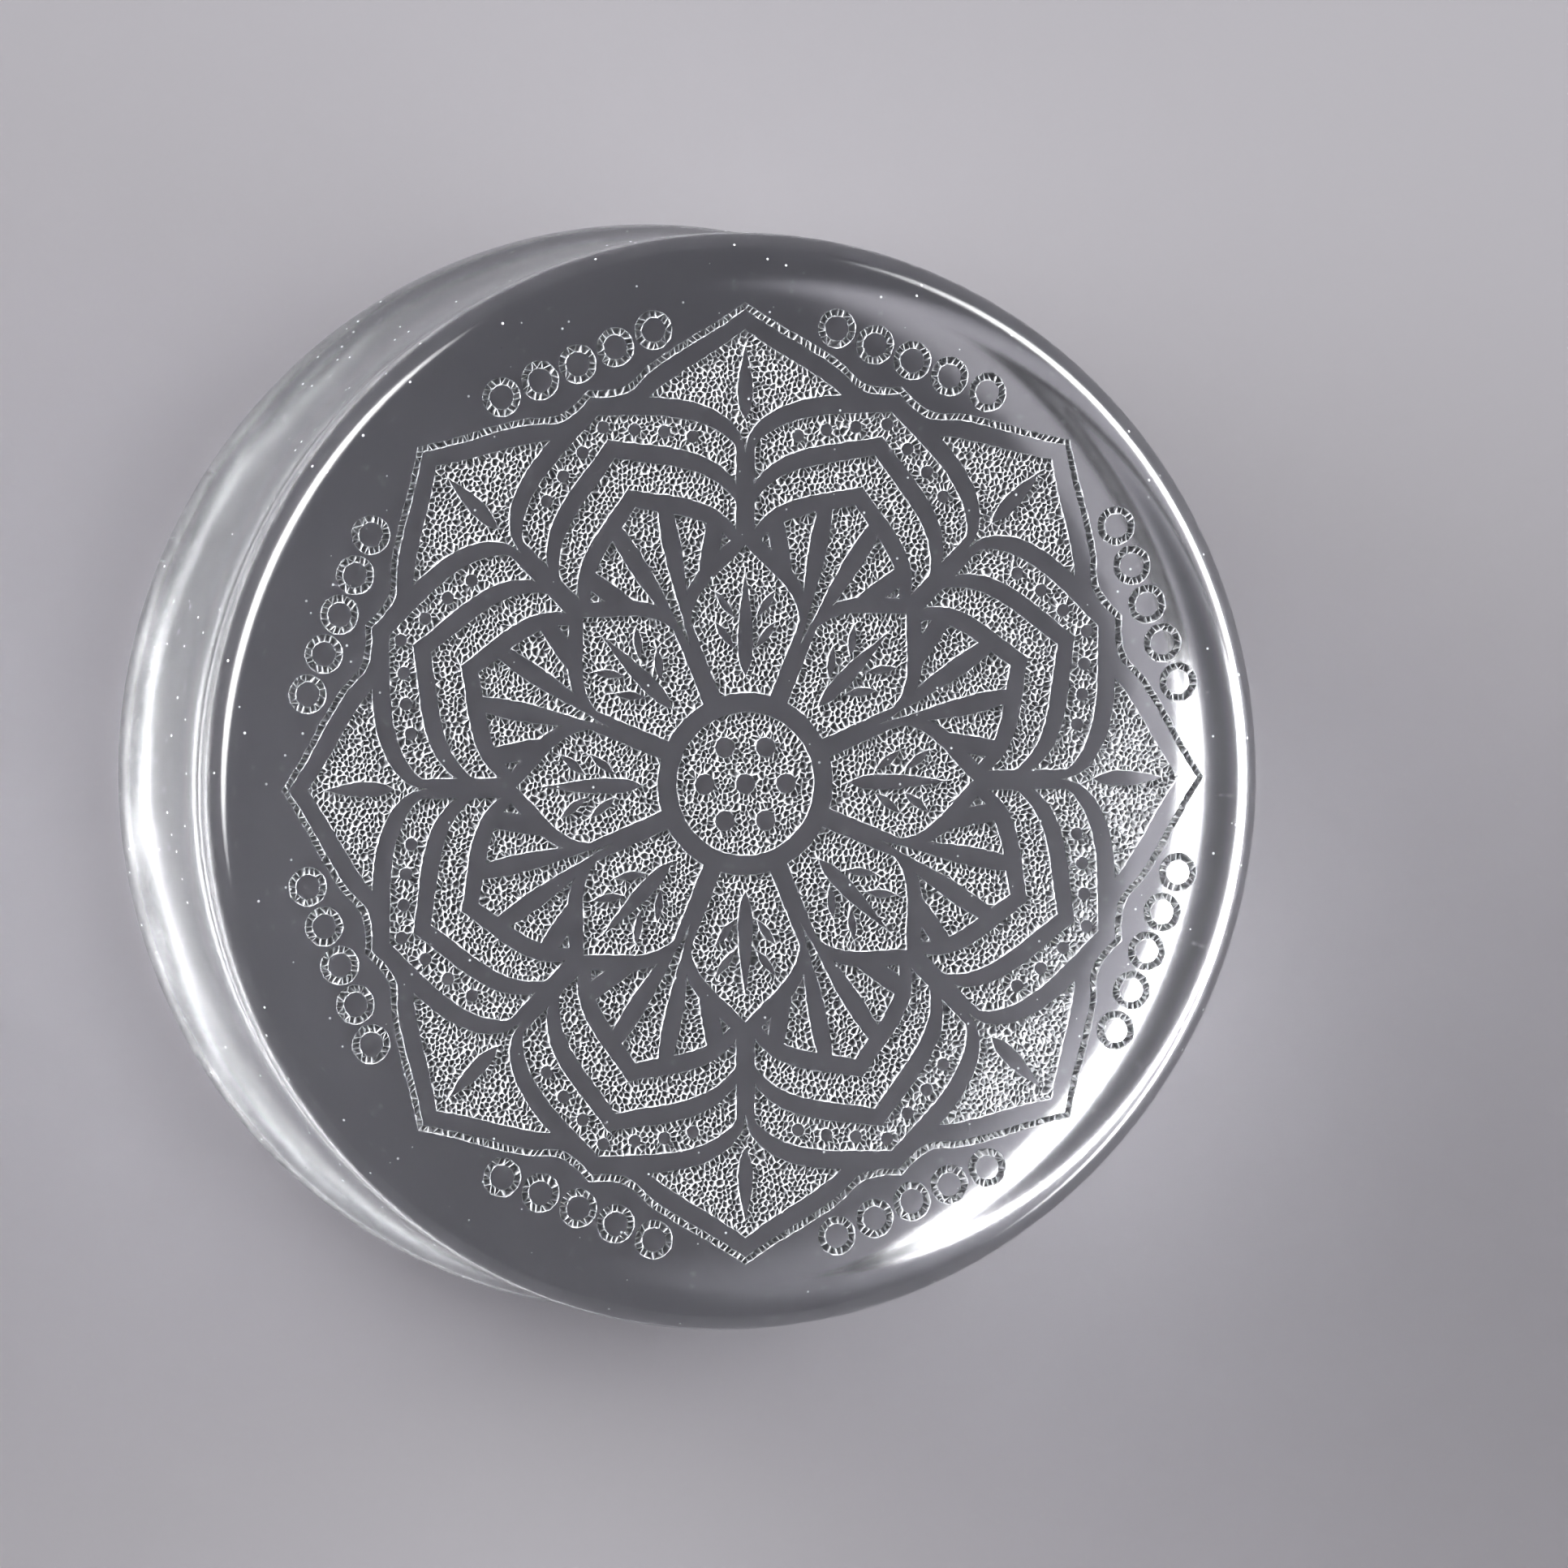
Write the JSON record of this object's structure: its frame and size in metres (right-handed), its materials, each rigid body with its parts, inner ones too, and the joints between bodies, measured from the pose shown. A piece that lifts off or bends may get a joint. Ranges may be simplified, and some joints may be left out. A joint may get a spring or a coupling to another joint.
{
  "type": "double flare ear plug",
  "caption": "Solid clear glass double flare ear plug with rounded rims, a shallow waist and a lotus rosette etched into its front face.",
  "frame": {"origin": "middle of the plain back face, which the plug rests on", "axes": "+Z along the plug's axis from the back face to the engraved front face; +Y through the tip of one tall leaf of the rosette, which is the top of the face in the picture; +X to the right as the front face is looked at with +Y up"},
  "size_m": [0.0428, 0.0428, 0.0158],
  "materials": {
    "glass": "fire-polished clear glass, with the rosette in the front face etched to a coarse crystalline frost"
  },
  "bodies": {
    "root": {"plug": "glass"}
  },
  "joints": []
}
